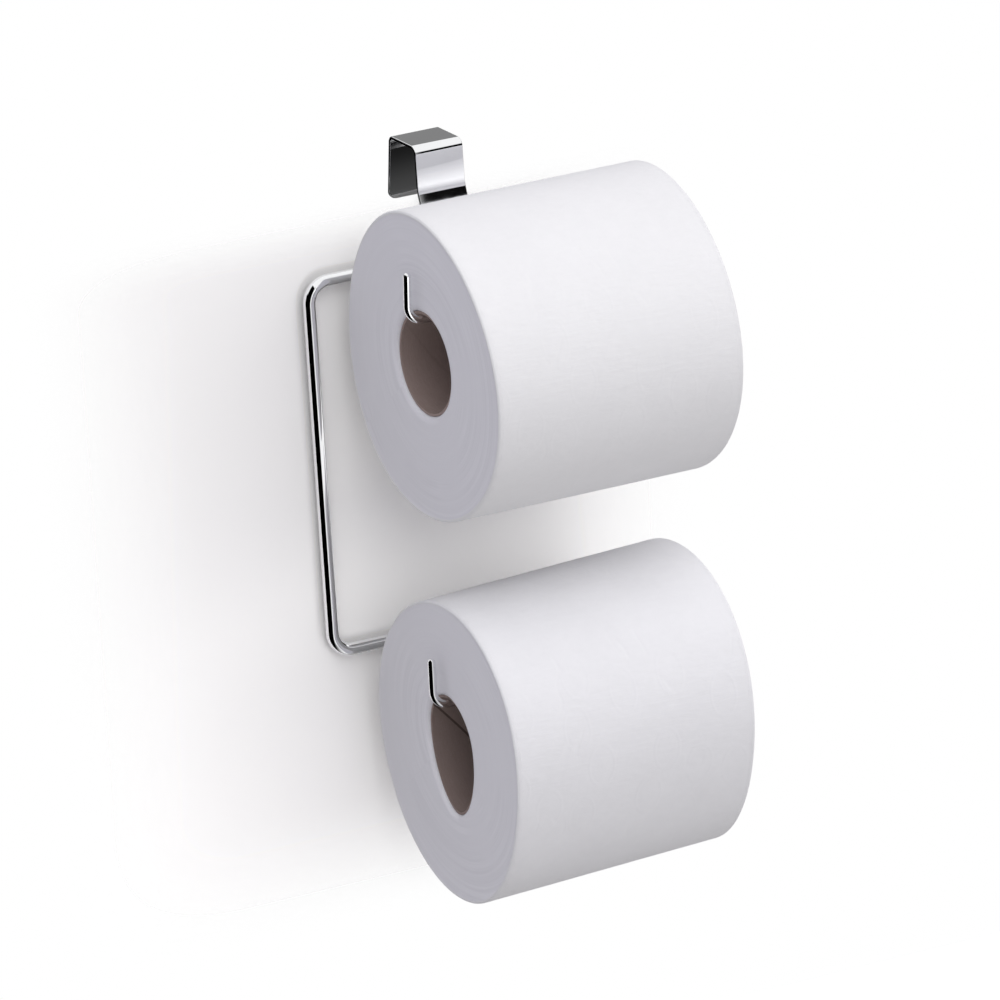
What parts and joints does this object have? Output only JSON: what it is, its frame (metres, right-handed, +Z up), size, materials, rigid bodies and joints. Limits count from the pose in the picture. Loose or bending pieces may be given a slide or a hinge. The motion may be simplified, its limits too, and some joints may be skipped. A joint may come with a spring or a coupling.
{
  "type": "double toilet roll holder",
  "caption": "Chrome wire holder that hooks over a panel's top edge and carries one toilet roll above another on bent arms.",
  "frame": {"origin": "middle of the hook's inner top face, where it rests on the panel's top edge", "axes": "+X along the panel, +Y into the panel from the side where the rolls hang, +Z up"},
  "size_m": [0.1284, 0.1525, 0.2678],
  "materials": {
    "chrome": "polished chrome plate",
    "paper": "soft matt tissue, faintly embossed",
    "cardboard": "bare grey-brown cardboard"
  },
  "bodies": {
    "holder": {"hook_strip": "chrome", "frame_rod": "chrome", "upper_arm": "chrome", "lower_arm": "chrome"},
    "upper_roll": {"upper_core": "cardboard", "upper_paper": "paper"},
    "lower_roll": {"lower_core": "cardboard", "lower_paper": "paper"}
  },
  "joints": [
    {"name": "upper_roll_spin", "type": "hinge", "parent": "holder", "child": "upper_roll", "pos_m": [-0.0464, -0.07854, -0.0581], "axis": [1, 0, 0], "continuous": true},
    {"name": "lower_roll_spin", "type": "hinge", "parent": "holder", "child": "lower_roll", "pos_m": [-0.04581, -0.07854, -0.20264], "axis": [0.9993, 0, 0.0366], "continuous": true}
  ]
}
